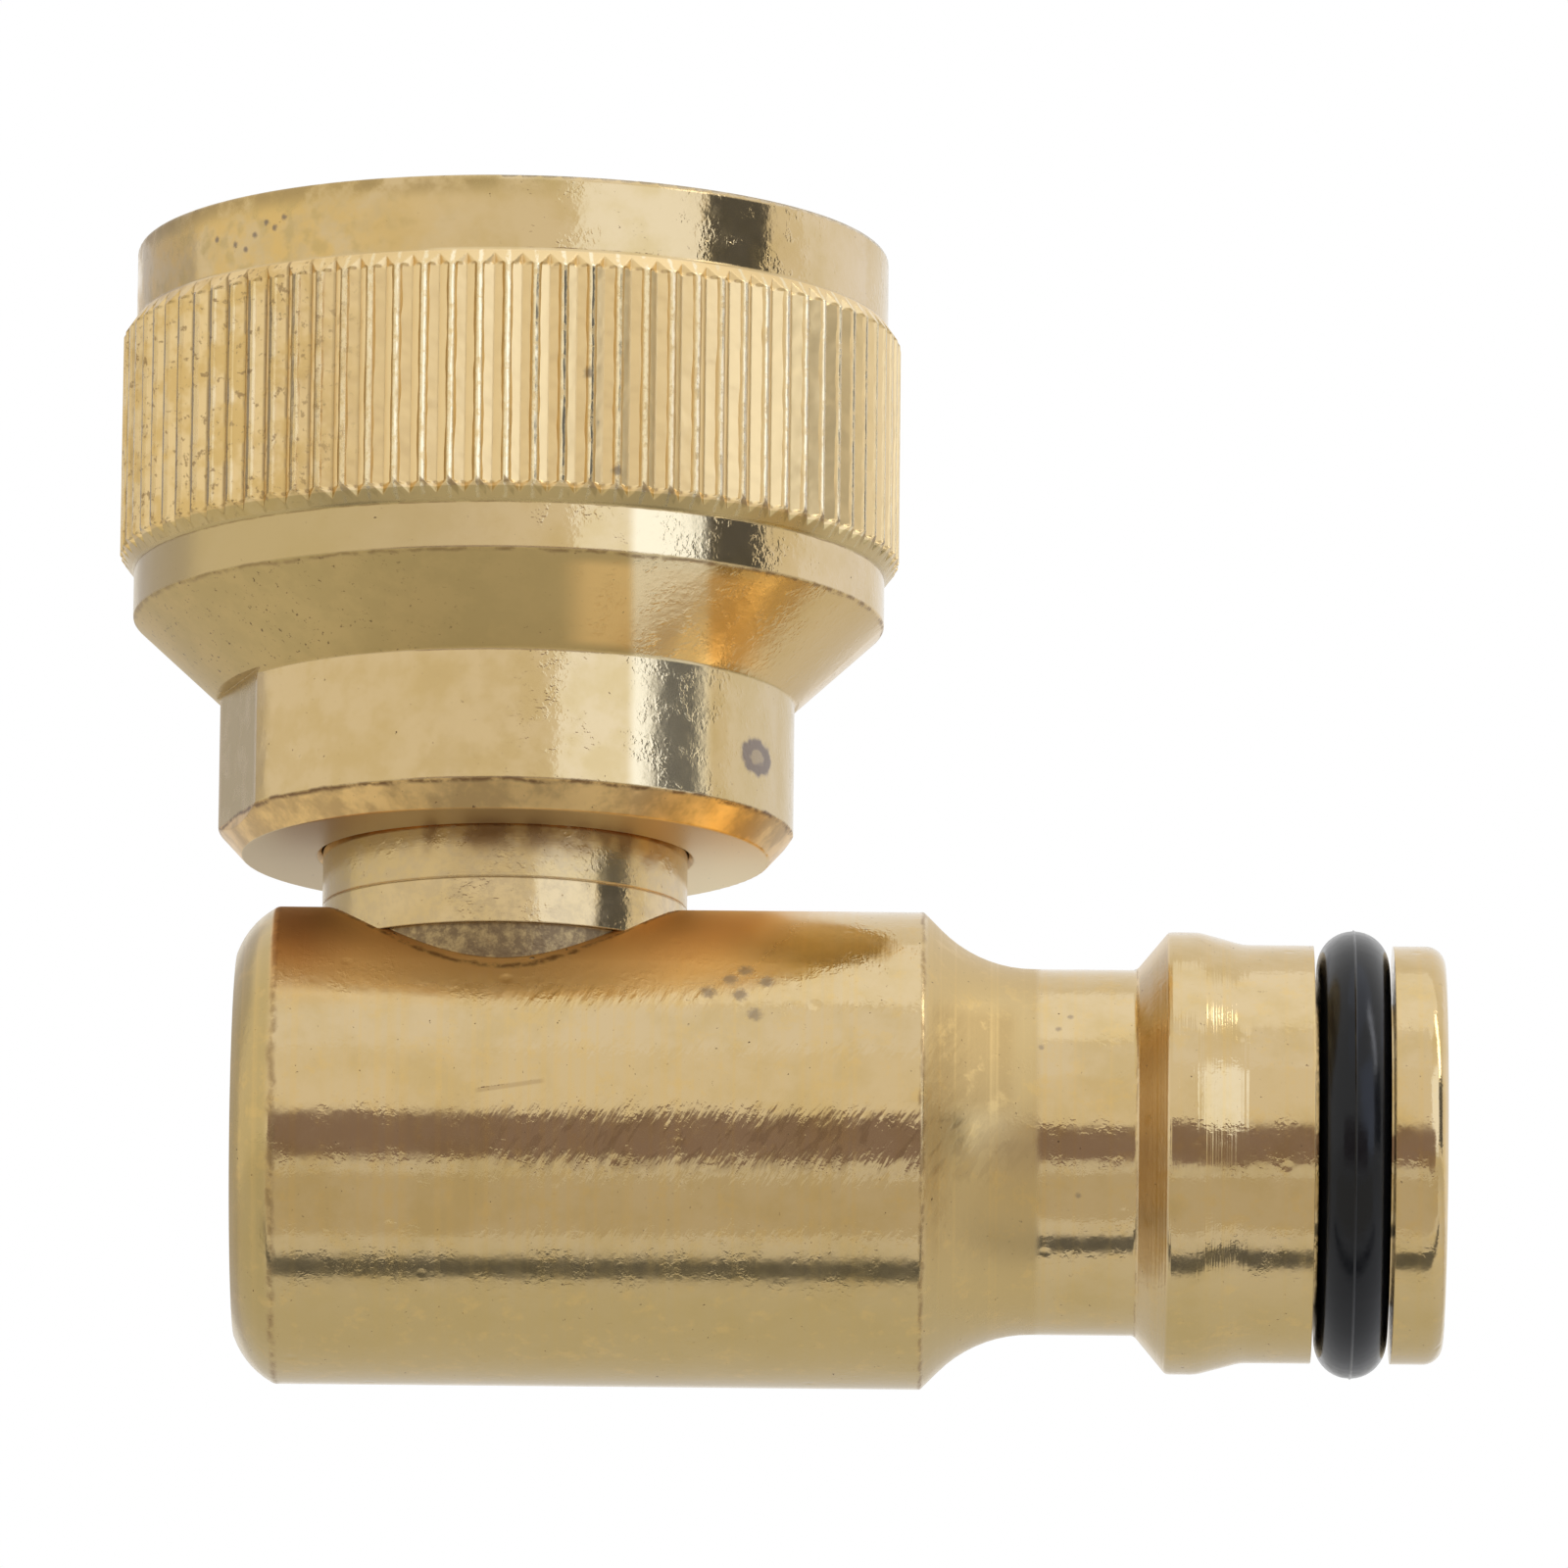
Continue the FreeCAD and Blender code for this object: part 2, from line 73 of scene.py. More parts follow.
# The grip's grooves.
GRIP_RADIUS = 15.0
GROOVE_COUNT = 88
GROOVE_ANGLE = -87.3
GROOVE_PITCH = 2 * math.pi * GRIP_RADIUS / GROOVE_COUNT

# The lands between the grooves are flat in the solids. The shading slopes them down from a
# ridge, and eases the grooves' flanks, because the photograph's crests are ridges.
LAND_HALF = 0.195
LAND_SLOPE = 0.51
FLANK_EASE = 0.46

# Places along the outlet.
BAR_START = -8.6
BAR_END = 16.1
RIDGE_START = 24.2555
NOSE_START = 28.3255

# The tap's thread, 14 turns to the inch.
THREAD_WALL = 13.22
THREAD_CREST = 12.06
THREAD_PITCH = 25.4 / 14
THREAD_START = -0.9
THREAD_TURNS = 3.4

# The cross hole's edge, where the spindle's spigot goes into the bar.
HOLE_RADIUS = 7.05
SPIGOT_RADIUS = 6.75
BAR_RADIUS = 9.1345

# The studio round the object.
MIDDLE = (5, 0, -22)
LAMP_DISTANCE = 650
FLOOR_HEIGHT = -230
FLOOR_SIZE = 6000
WORLD_AS_LAMP = 0.95

BRASS = (0.62, 0.46, 0.235)
BRASS_WORN = (0.57, 0.41, 0.18)
BRASS_OLIVE = (0.47, 0.345, 0.135)
BRASS_GOLDEN = (0.66, 0.445, 0.16)
BRASS_GREY = (0.50, 0.38, 0.215)
BRASS_BRIGHT = (0.86, 0.72, 0.45)
# The orange of brass seen in brass, painted where one piece reflects another.
REFLECTED_ORANGE = (0.88, 0.56, 0.20)
GRIP_BRASS = (0.80, 0.60, 0.30)
GROOVE_BRASS = (0.80, 0.59, 0.285)
CONE_TAN = (0.56, 0.40, 0.16)
RIDGE_PALE = (0.74, 0.56, 0.33)
UNDER_CAP_SHADE = (0.42, 0.16, 0.045)
SPIGOT_DULL_AND_SHADED = (0.20, 0.135, 0.07)
TARNISH_AND_SHADE = (0.30, 0.19, 0.085)
COLLAR_SHADE = (0.22, 0.12, 0.05)
STAIN = (0.20, 0.155, 0.12)
RIM_DIRT = (0.20, 0.11, 0.05)
COLLAR_DIRT = (0.16, 0.085, 0.04)
HOLE_DIRT = (0.16, 0.08, 0.035)
DIRT = (0.10, 0.055, 0.028)
SEAL_BLACK = (0.003, 0.003, 0.0032)
WASHER_BLACK = (0.03, 0.03, 0.032)
SLIP_WHITE = (0.80, 0.79, 0.74)
FLOOR_SHADE = (0.79, 0.785, 0.77)
FLOOR_LIGHT = (0.82, 0.815, 0.80)

# Roughness of polished brass, from its smoothest to its roughest, and of dirt on it.
POLISHED = (0.07, 0.15)
DULL = 0.4

# Noise textures mostly stay between these two values.
NOISE_LOW = 0.3
NOISE_HIGH = 0.7

# How soft the border between two zones of a turned piece is, and how round its edges look.
BORDER = 0.05
EDGE_ROUNDING = 0.08

# Fades of marks, as the place where each begins and the place where it is full.
CAP_LEFT = (1.0, -9.0)
CAP_PLAIN = (1.6, 0.0)
RIM_TOP = (-1.1, -0.1)
RIM_TOP_LEFT = (5.0, 0.0)
RIM_BROWN = (-0.9, -0.2)
RIM_BROWN_LEFT = (3.0, -4.0)
GRIP_WORN_AND_LIT = (-9.0, -4.0)
GRIP_DULL_AND_SHADED = (-4.0, -9.0)
LOWER_RIM_LEFT = (4.0, -3.0)
CONE_LEFT = (9.0, 4.5)
CONE_PATCHY = (6.0, -4.0)
CONE_RIGHT = (8.5, 10.5)
COLLAR_RIGHT = (7.0, 9.5)
FOOT_LEFT = (9.0, 0.0)
BAR_LOW = (OUTLET_HEIGHT - 4.0, OUTLET_HEIGHT - 8.0)
BAR_TOP = (OUTLET_HEIGHT + 3.5, OUTLET_HEIGHT + 6.5)
BAR_TOP_LEFT = (-5.0, -8.3)
ROUND_SPINDLE = (15.0, 9.0)
HOLE_SIDE = (OUTLET_HEIGHT + 3.0, OUTLET_HEIGHT + 4.0)
HOLLOW_FRONT = (0.0, -3.0)
SPINDLE_LEFT = (-3.0, -6.5)
SPINDLE_FRONT = (0.0, -2.0)
COLLAR_SHADE_HEIGHT = (-25.1, -24.1)

# Zones of marks, as both ends of each and how softly it fades out beyond them.
CONE_REFLECTION_ACROSS = (3.5, 9.0, 1.5)
CONE_REFLECTION_HEIGHT = (-17.2, -15.0, 0.4)
# Where the cap below the grip is painted lighter, against a dark reflection.
PAINTED_LIGHT_BAND_ACROSS = (5.2, 7.6, 0.5)
HOLLOW_ACROSS = (16.8, 19.2, 0.8)
HOLLOW_HEIGHT = (-34.0, -31.0, 1.2)
SCRATCHED_ACROSS = (3.0, 15.5, 6.0)
SCRATCHED_HEIGHT = (-39.0, -31.0, 1.5)
STREAKED_HEIGHT = (-37.1, -35.2, 0.4)
COLLAR_SHADE_ACROSS = (-2.5, 5.0, 1.6)

# Single marks that the photograph shows.
RIM_PITS = [
    (-9.598, -10.869, -1.654), (-10.367, -10.138, -1.877), (-8.833, -11.499, -1.484),
    (-9.15, -11.25, -1.25), (-9.95, -10.55, -2.15), (-8.45, -11.78, -1.15), (-11.1, -9.33, -1.5),
]
GRIP_NICKS = [(3.80, -14.51, -9.57), (3.23, -14.65, -7.71), (4.38, -14.35, -11.42)]
COLLAR_STAIN = (9.696, -5.279, -20.634)
COLLAR_STAIN_STRETCH = 1.613
BAR_STAINS = [
    (8.772, -7.503, -29.682), (9.155, -7.907, -30.320), (9.724, -8.330, -31.147),
    (9.35, -7.20, -29.27), (7.95, -7.85, -30.22), (10.15, -7.55, -29.74),
]
NECK_PITS = [
    (21.25, -5.93, -31.17), (22.04, -6.42, -37.67), (20.6, -6.35, -31.95), (21.7, -5.55, -30.62),
]
HAIRLINE_START = (-0.609, -9.110, -34.286)
HAIRLINE_END = (1.61, -9.07, -33.93)

# The scratches on the bar's right half lean by this much, and are this dense across and along.
SCRATCH_SLANT = 0.58
SCRATCH_DENSITY = (2.9, 0.6, 0.8)


def place(point):
    return Vector(point) * MM


class Nodes:
    """Short words for building one material's node tree."""

    def __init__(self, name):
        self.material = bpy.data.materials.new(name)
        self.material.use_nodes = True
        self.tree = self.material.node_tree
        self.shader = self.tree.nodes["Principled BSDF"]

    def add(self, kind, inputs=None, **settings):
        node = self.tree.nodes.new(kind)
        for key, value in settings.items():
            setattr(node, key, value)
        for key, value in (inputs or {}).items():
            self.feed(node.inputs[key], value)
        return node

    def feed(self, socket, value):
        if isinstance(value, bpy.types.NodeSocket):
            self.tree.links.new(value, socket)
        else:
            socket.default_value = value

    def maths(self, operation, *values):
        node = self.add("ShaderNodeMath", operation=operation)
        for socket, value in zip(node.inputs, values):
            self.feed(socket, value)
        return node.outputs[0]

    def vectors(self, operation, result, *values):
        node = self.add("ShaderNodeVectorMath", operation=operation)
        for socket, value in zip(node.inputs, values):
            self.feed(socket, value)
        return node.outputs[result]

    def times(self, *values):
        product = values[0]
        for value in values[1:]:
            product = self.maths("MULTIPLY", product, value)
        return product

    def away_from(self, value, centre, shift):
        """How far value, moved by shift, is from centre."""
        moved = self.maths("ADD", self.maths("SUBTRACT", value, centre), shift)
        return self.maths("ABSOLUTE", moved)

    def vector(self, x, y, z):
        return self.add("ShaderNodeCombineXYZ", {"X": x, "Y": y, "Z": z}).outputs[0]

    def split(self, vector):
        return self.add("ShaderNodeSeparateXYZ", {"Vector": vector}).outputs

    def distance(self, first, second):
        squares = self.maths("MULTIPLY", first, first)
        return self.maths("SQRT", self.maths("MULTIPLY_ADD", second, second, squares))

    def millimetres(self):
        spot = self.add("ShaderNodeTexCoord").outputs["Object"]
        node = self.add("ShaderNodeVectorMath", {0: spot, "Scale": 1 / MM}, operation="SCALE")
        return node.outputs["Vector"]

    def noise(self, where, scale, detail=2.0, roughness=0.5):
        inputs = {"Vector": where, "Scale": scale, "Detail": detail, "Roughness": roughness}
        return self.add("ShaderNodeTexNoise", inputs).outputs["Fac"]

    def dots(self, where, scale):
        """The distance to the nearest of many scattered points, in their own spacing."""
        return self.add("ShaderNodeTexVoronoi", {"Vector": where, "Scale": scale}).outputs["Distance"]

    def step(self, value, low, high):
        """0 at low, 1 at high, smooth between them, and low may be the larger one."""
        inputs = {"Value": value, "From Min": low, "From Max": high}
        node = self.add("ShaderNodeMapRange", inputs, interpolation_type="SMOOTHSTEP")
        return node.outputs["Result"]

    def range(self, value, low, high, first, last):
        """first at low and last at high, in a straight line between them."""
        inputs = {"Value": value, "From Min": low, "From Max": high, "To Min": first, "To Max": last}
        return self.add("ShaderNodeMapRange", inputs).outputs["Result"]

    def spread(self, noise, first, last):
        """A noise stretched to reach from first to last."""
        return self.range(noise, NOISE_LOW, NOISE_HIGH, first, last)

    def between(self, value, low, high, soft):
        """1 from low to high, falling to 0 over soft on both sides."""
        above = self.step(value, low - soft, low)
        return self.times(above, self.step(value, high + soft, high))

    def mix(self, share, first, second):
        node = self.add("ShaderNodeMix", data_type="RGBA")
        self.feed(node.inputs["Factor"], share)
        for socket, value in ((node.inputs[6], first), (node.inputs[7], second)):
            if isinstance(value, tuple):
                value = (*value, 1.0)
            self.feed(socket, value)
        return node.outputs[2]

    def bump(self, height, depth, normal=None):
        """depth is how far apart heights 0 and 1 are."""
        inputs = {"Height": height, "Distance": depth * MM, "Strength": 1.0}
        if normal is not None:
            inputs["Normal"] = normal
        return self.add("ShaderNodeBump", inputs).outputs["Normal"]


class Brass(Nodes):
    """Turned and tumbled brass, to which each piece adds its own marks."""

    def __init__(self, name, axis):
        super().__init__(name)
        self.spot = self.millimetres()
        self.x, self.y, self.z = self.split(self.spot)
        if axis == "swivel":
            self.along = self.z
            self.radius = self.distance(self.x, self.y)
        else:
            self.along = self.x
            self.radius = self.distance(self.y, self.maths("SUBTRACT", self.z, OUTLET_HEIGHT))
        self.shader.inputs["Metallic"].default_value = 1.0
        worn = self.patches(0.4, 0.4, 0.7, detail=4.0, roughness=0.6)
        self.colour = self.mix(worn, BRASS, BRASS_WORN)
        self.rough = self.spread(self.grain(1.4, detail=4.0), *POLISHED)
        rounded = self.add("ShaderNodeBevel", {"Radius": EDGE_ROUNDING * MM}, samples=4)
        self.normal = rounded.outputs[0]

    def grain(self, scale, detail=2.0, roughness=0.5):
        return self.noise(self.spot, scale, detail, roughness)

    def patches(self, scale, low, high, detail=2.0, roughness=0.5):
        """Scattered patches where the grain rises from low to high."""
        return self.step(self.grain(scale, detail, roughness), low, high)

    def stain(self, where, colour, strength=1.0, rough=None):
        share = self.times(where, strength)
        self.colour = self.mix(share, self.colour, colour)
        if rough is not None:
            rougher = self.maths("SUBTRACT", rough, self.rough)
            self.rough = self.maths("MULTIPLY_ADD", rougher, share, self.rough)

    def dent(self, height, depth):
        self.normal = self.bump(height, depth, self.normal)

    def turn(self, density, depth, where=1.0):
        """Fine rings left by the lathe's tool."""
        along = self.times(self.along, density)
        across = self.times(self.radius, density)
        rings = self.noise(self.vector(along, across, 0.0), 1.0)
        self.dent(self.times(rings, where), depth)

    def tumble(self, strength):
        """Dents from other pieces in the tumbling drum: slow waves, ripples and sharp flecks."""
        self.dent(self.grain(0.55), 0.012)
        self.dent(self.times(self.grain(2.4, roughness=0.55), strength), 0.009)
        patchy = self.patches(0.9, 0.42, 0.64)
        flecks = self.patches(4.2, 0.42, 0.68, roughness=0.6)
        self.dent(self.times(flecks, patchy, strength), 0.008)

    def speckle(self, where, low, high, colour=DIRT, scale=4.5):
        specks = self.patches(scale, low, high, detail=3.0, roughness=0.7)
        self.stain(self.times(specks, where), colour, rough=DULL)

    def pits(self, centres, size, strength):
        """Small dark pits, each at its own place."""
        wobble = self.range(self.grain(6.0), 0.0, 1.0, -size / 2, size / 2)
        for centre in centres:
            away = self.vectors("DISTANCE", "Value", self.spot, centre)
            ragged = self.maths("ADD", away, wobble)
            self.stain(self.step(ragged, 1.2 * size, 0.3 * size), STAIN, strength, rough=DULL)

    def line(self, value, at, width, strength, colour):
        """A ragged line of dirt where value is at."""
        wobble = self.spread(self.grain(0.8, detail=3.0, roughness=0.6), -width / 2, width / 2)
        near = self.step(self.away_from(value, at, wobble), width, 0.0)
        broken = self.patches(1.3, 0.36, 0.58, detail=4.0, roughness=0.7)
        self.stain(self.times(near, broken), colour, strength, rough=DULL)

    def finish(self):
        self.feed(self.shader.inputs["Base Color"], self.colour)
        self.feed(self.shader.inputs["Roughness"], self.rough)
        self.feed(self.shader.inputs["Normal"], self.normal)
        return self.material


def groove_phase(metal):
    """0 and 1 in a groove's bottom, 0.5 on the crest between two grooves."""
    angle = metal.maths("ARCTAN2", metal.y, metal.x)
    turns = metal.maths("SUBTRACT", angle, math.radians(GROOVE_ANGLE))
    return metal.maths("FRACT", metal.times(turns, GROOVE_COUNT / (2 * math.pi)))


def raise_crests(metal, phase, outside):
    """Shades each flat land as a ridge, away from the grip's bevelled ends."""
    wander = metal.spread(metal.grain(0.7), -0.03, 0.03)
    away = metal.times(metal.away_from(phase, 0.5, wander), GROOVE_PITCH)
    land = metal.times(away, -LAND_SLOPE)
    flank = metal.maths("MULTIPLY_ADD", away, FLANK_EASE, -(LAND_SLOPE + FLANK_EASE) * LAND_HALF)
    straight = metal.between(metal.z, GRIP_END + 0.75, RIM_END - 0.75, 0.15)
    metal.dent(metal.times(metal.maths("MAXIMUM", land, flank), straight, outside), 1.0)


def grip_marks(metal):
    """The knurl's base and crests are painted lighter on the right, as worn crests and painted
    highlights, and its grooves hold dirt and painted shade on the left.
    """
    outside = metal.step(metal.radius, GRIP_RADIUS - 1.2, GRIP_RADIUS - 0.9)
    grip = metal.times(metal.between(metal.z, GRIP_END + 0.15, RIM_END - 0.15, 0.08), outside)
    worn_and_lit_side = metal.step(metal.x, *GRIP_WORN_AND_LIT)
    dull_and_shaded_side = metal.step(metal.x, *GRIP_DULL_AND_SHADED)
    phase = groove_phase(metal)
    raise_crests(metal, phase, outside)

    # Painted light: the grip's base is painted lighter towards the right, where its crests catch the
    # key lamp, and stays darker on the left.
    painted_lightness = metal.range(metal.x, -10.0, -3.0, 0.2, 1.0)
    metal.stain(grip, GRIP_BRASS, painted_lightness, rough=0.34)
    groove = metal.times(metal.step(metal.radius, GRIP_RADIUS - 0.02, GRIP_RADIUS - 0.12), grip)
    metal.stain(groove, GROOVE_BRASS, rough=0.34)
    # The crests on the right are worn bright, and are painted brighter still as highlights.
    ripple = metal.spread(metal.grain(3.0, detail=3.0, roughness=0.65), -0.045, 0.045)
    near_crest = metal.step(metal.away_from(phase, 0.5, ripple), 0.10, 0.035)
    patchy = metal.patches(2.0, 0.36, 0.5, detail=3.0, roughness=0.7)
    metal.stain(metal.times(near_crest, grip, patchy, worn_and_lit_side), BRASS_BRIGHT, 0.9, rough=0.12)

    # Painted shade: the grooves' bottoms on the left are darkened, as dirt and as the shade in them.
    valley = metal.step(metal.away_from(phase, 0.5, 0.0), 0.40, 0.47)
    metal.stain(metal.times(valley, grip, dull_and_shaded_side), TARNISH_AND_SHADE, 0.75, rough=0.35)
    golden = metal.patches(0.7, 0.42, 0.62, detail=3.0, roughness=0.65)
    metal.stain(metal.times(golden, grip, dull_and_shaded_side), BRASS_GOLDEN, 0.85, rough=0.3)
    metal.speckle(metal.times(dull_and_shaded_side, grip, 0.7), 0.57, 0.66, TARNISH_AND_SHADE, scale=2.6)

    # Painted shade: dark brown on the facets at the crests' lower ends, where the grooves run out.
    slanted = metal.maths("MULTIPLY_ADD", phase, 1.1, metal.z)
    low_end = metal.between(slanted, GRIP_END + 1.12, GRIP_END + 1.34, 0.09)
    facet = metal.between(phase, 0.46, 0.78, 0.05)
    ragged = metal.patches(1.7, 0.36, 0.55)
    metal.stain(metal.times(low_end, facet, ragged, worn_and_lit_side), TARNISH_AND_SHADE, 0.8, rough=0.35)
    shoulder = metal.between(metal.z, GRIP_END - 0.02, GRIP_END + 0.5, BORDER)
    metal.stain(shoulder, BRASS_OLIVE, 0.7, rough=0.28)


def rim_marks(metal, left, patina):
    """Patina on the rims' left, a dull and brown upper edge, and a few pits."""
    rim = metal.step(metal.z, RIM_END - 0.1, RIM_END)
    metal.stain(metal.times(rim, left, patina), BRASS_GOLDEN, rough=0.26)
    olive = metal.patches(1.3, 0.5, 0.68, detail=4.0)
    metal.stain(metal.times(rim, left, olive), BRASS_OLIVE, 0.55, rough=0.3)
    top_left = metal.times(metal.step(metal.z, *RIM_TOP), metal.step(metal.x, *RIM_TOP_LEFT))
    metal.stain(metal.times(rim, top_left, patina), BRASS_OLIVE, 0.8, rough=0.3)
    brown = metal.times(metal.step(metal.z, *RIM_BROWN), metal.step(metal.x, *RIM_BROWN_LEFT))
    metal.stain(metal.times(brown, patina), TARNISH_AND_SHADE, 0.45, rough=0.35)
    metal.pits(RIM_PITS, 0.15, 0.8)

    lower_rim = metal.between(metal.z, LOWER_RIM_END, GRIP_END, BORDER)
    lower_left = metal.times(lower_rim, metal.step(metal.x, *LOWER_RIM_LEFT))
    metal.stain(lower_left, BRASS_GREY, 0.4, rough=0.2)
    metal.stain(metal.times(lower_rim, left), BRASS_OLIVE, 0.6, rough=0.28)


def cone_marks(metal, left, patina):
    """A dull tan cone that turns golden on its right, with the elbow's reflection painted orange
    there.
    """
    cone = metal.between(metal.z, CONE_END, LOWER_RIM_END, BORDER)
    metal.stain(metal.times(cone, metal.step(metal.x, *CONE_LEFT)), CONE_TAN, rough=0.42)
    olive = metal.times(cone, metal.step(metal.x, *CONE_PATCHY), patina)
    metal.stain(olive, BRASS_OLIVE, 0.5, rough=0.42)
    metal.stain(metal.times(cone, metal.step(metal.x, *CONE_RIGHT)), BRASS_GOLDEN, 0.6, rough=0.25)
    # Painted reflection: orange where the cone reflects the brass elbow below it.
    across = metal.between(metal.x, *CONE_REFLECTION_ACROSS)
    height = metal.between(metal.z, *CONE_REFLECTION_HEIGHT)
    metal.stain(metal.times(across, height, cone), REFLECTED_ORANGE, 0.7, rough=0.26)
    metal.speckle(metal.times(cone, left, 0.8), 0.62, 0.70)


def collar_marks(metal, patina):
    """Dull flats, a band painted lighter below the grip, a chamfer with tarnish and an orange painted
    reflection, and a foot that is paler on the right.
    """
    collar = metal.between(metal.z, COLLAR_END, CONE_END, BORDER)
    flat = metal.times(collar, metal.step(metal.radius, FLAT_RADIUS + 0.04, FLAT_RADIUS - 0.04))
    metal.stain(flat, BRASS_OLIVE, 0.95, rough=0.3)
    worn = metal.patches(0.8, 0.45, 0.65, detail=3.0)
    metal.stain(metal.times(collar, worn), BRASS_WORN, 0.5, rough=0.2)
    metal.stain(metal.times(collar, metal.step(metal.x, *COLLAR_RIGHT)), BRASS_OLIVE, 0.45, rough=0.2)
    # Painted light: the cap below the grip is painted lighter where the dark flag's reflection falls
    # on it.
    below_grip = metal.step(metal.z, GRIP_END, GRIP_END - 0.1)
    painted_light_band = metal.times(metal.between(metal.x, *PAINTED_LIGHT_BAND_ACROSS), below_grip)
    metal.stain(painted_light_band, BRASS_BRIGHT, 0.75, rough=0.2)
    # Painted reflection: the chamfer faces the elbow and is painted orange as its reflection, with
    # real tarnish over it.
    chamfer = metal.between(metal.z, FOOT + 0.02, COLLAR_END, 0.03)
    metal.stain(chamfer, REFLECTED_ORANGE, 0.7, rough=0.36)
    metal.stain(metal.times(chamfer, patina), TARNISH_AND_SHADE, 0.5, rough=0.36)
    foot = metal.step(metal.z, FOOT + 0.03, FOOT + 0.01)
    metal.stain(foot, BRASS_BRIGHT, rough=0.42)
    metal.stain(metal.times(foot, metal.step(metal.x, *FOOT_LEFT)), BRASS_GREY, 0.8, rough=0.42)


def collar_stain(metal):
    """One water stain, wider than tall: a dark ring with a grey middle."""
    x, y, z = metal.split(metal.vectors("SUBTRACT", "Vector", metal.spot, COLLAR_STAIN))
    along = metal.times(metal.distance(x, y), 1 / COLLAR_STAIN_STRETCH)
    wobble = metal.spread(metal.grain(3.0), -0.08, 0.08)
    reach = metal.maths("ADD", metal.distance(along, z), wobble)
    metal.stain(metal.step(reach, 0.84, 0.62), STAIN, 0.55, rough=0.3)
    metal.stain(metal.between(reach, 0.36, 0.60, 0.14), STAIN, 0.75, rough=0.4)


def cap_surface(metal):
    """Turning rings, and dents from tumbling that are fainter on the grip, foot and left side."""
    metal.turn(9.0, 0.0013)
    grip = metal.between(metal.z, GRIP_END, RIM_END, BORDER)
    foot = metal.step(metal.z, COLLAR_END + 0.05, COLLAR_END - 0.05)
    left = metal.step(metal.x, *CAP_PLAIN)
    plain = metal.maths("MAXIMUM", metal.maths("ADD", grip, foot), left)
    metal.tumble(metal.range(plain, 0.0, 1.0, 1.0, 0.15))


def cap_brass():
    metal = Brass("cap_brass", "swivel")
    left = metal.step(metal.x, *CAP_LEFT)
    patina = metal.patches(0.55, 0.38, 0.62, detail=4.0, roughness=0.65)
    rim_marks(metal, left, patina)
    cone_marks(metal, left, patina)
    collar_marks(metal, patina)
    metal.speckle(1.0, 0.69, 0.76)
    cap_surface(metal)
    grip_marks(metal)
    metal.pits(GRIP_NICKS, 0.25, 0.7)
    more_on_the_right = metal.range(metal.x, -8.0, 9.0, 0.45, 0.75)
    metal.line(metal.z, LOWER_RIM_END - 0.04, 0.11, more_on_the_right, RIM_DIRT)
    metal.line(metal.z, GRIP_END - 0.02, 0.05, 0.7, TARNISH_AND_SHADE)
    metal.line(metal.z, COLLAR_END - 0.03, 0.13, 0.85, COLLAR_DIRT)
    collar_stain(metal)
    return metal.finish()


def hairline(metal):
    """One fine scratch on the bar, from its start to its end."""
    start, end = Vector(HAIRLINE_START), Vector(HAIRLINE_END)
    ahead = tuple((end - start).normalized())
    away = metal.vectors("SUBTRACT", "Vector", metal.spot, HAIRLINE_START)
    along = metal.vectors("DOT_PRODUCT", "Value", away, ahead)
    length = metal.vectors("LENGTH", "Value", away)
    squares = metal.maths("SUBTRACT", metal.times(length, length), metal.times(along, along))
    aside = metal.maths("SQRT", squares)
    within = metal.between(along, 0.0, (end - start).length, 0.3)
    return metal.times(metal.step(aside, 0.13, 0.04), within)


def outlet_colours(metal, top):
    """Dull end and hollow, a pale ridge, golden mottling and orange painted round the spindle as the
    cap's reflection.
    """
    end = metal.step(metal.x, BAR_START + 0.05, BAR_START - 0.25)
    metal.stain(end, BRASS_OLIVE, 0.75, rough=0.28)
    hollow = metal.between(metal.x, BAR_END + 0.3, BAR_END + 4.2, 0.4)
    metal.stain(hollow, BRASS_WORN, 0.95, rough=0.42)
    hollow_front = metal.times(
        metal.between(metal.x, *HOLLOW_ACROSS),
        metal.between(metal.z, *HOLLOW_HEIGHT),
        metal.step(metal.y, *HOLLOW_FRONT),
    )
    metal.stain(hollow_front, BRASS_WORN, rough=0.62)
    steep = metal.between(metal.x, RIDGE_START + 0.05, RIDGE_START + 1.15, 0.1)
    metal.stain(steep, RIDGE_PALE, 0.8, rough=0.3)
    rings = metal.vector(metal.times(metal.x, 3.5), metal.times(metal.radius, 3.0), 0.0)
    streaks = metal.step(metal.noise(rings, 1.0, detail=3.0), 0.48, 0.66)
    metal.stain(streaks, BRASS_GOLDEN, 0.3, rough=0.18)
    metal.stain(metal.step(metal.z, *BAR_LOW), BRASS_OLIVE, 0.75, rough=0.2)
    metal.speckle(1.0, 0.68, 0.75)
    mottle = metal.patches(1.1, 0.52, 0.68, detail=4.0, roughness=0.7)
    metal.stain(mottle, BRASS_GOLDEN, 0.4, rough=0.2)
    # Painted reflection: the bar's top round the spindle is painted orange, as the brass cap seen in
    # it.
    metal.stain(top, REFLECTED_ORANGE, rough=0.46)


